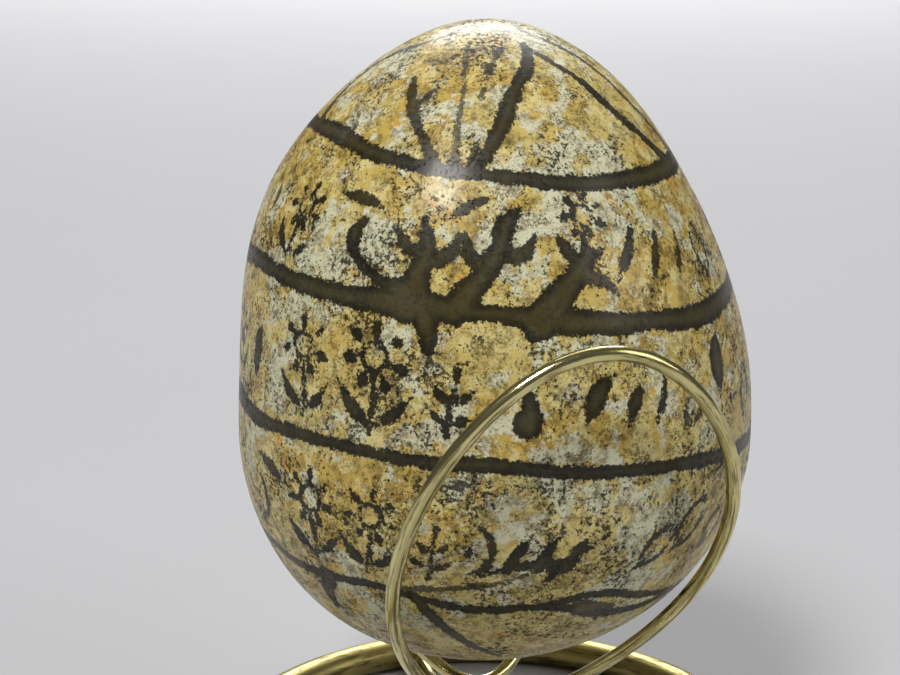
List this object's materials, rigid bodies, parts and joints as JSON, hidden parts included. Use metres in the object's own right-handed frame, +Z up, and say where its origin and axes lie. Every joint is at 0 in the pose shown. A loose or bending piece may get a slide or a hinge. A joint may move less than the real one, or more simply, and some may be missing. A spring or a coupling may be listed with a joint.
{
  "type": "decorated egg on a wire stand",
  "caption": "Hand-inked blown egg resting loose, pointed end up, in a cradle of teardrop wire loops on a flat brass ring base.",
  "frame": {"origin": "on the table, on the axis of the base ring", "axes": "+Z up towards the egg's pointed end, -Y towards the front, where the front loop leans out"},
  "size_m": [0.0584, 0.0596, 0.0758],
  "materials": {
    "inked_eggshell": "mottled ochre and cream shell with dark olive-brown brushwork under a worn satin varnish",
    "brass_wire": "polished drawn wire, lightly tarnished",
    "weld_bead": "dull, slightly scorched braze"
  },
  "bodies": {
    "stand": {"front_loop": "brass_wire", "back_loop": "brass_wire", "base_ring": "brass_wire", "base_bridge": "brass_wire", "front_hub_weld": "weld_bead", "back_hub_weld": "weld_bead", "front_ring_weld": "weld_bead", "back_ring_weld": "weld_bead"},
    "egg": {"eggshell": "inked_eggshell"}
  },
  "joints": [
    {"name": "egg_lift", "type": "slide", "parent": "stand", "child": "egg", "axis": [0, 0, 1], "range_m": [0, 0.05]}
  ]
}
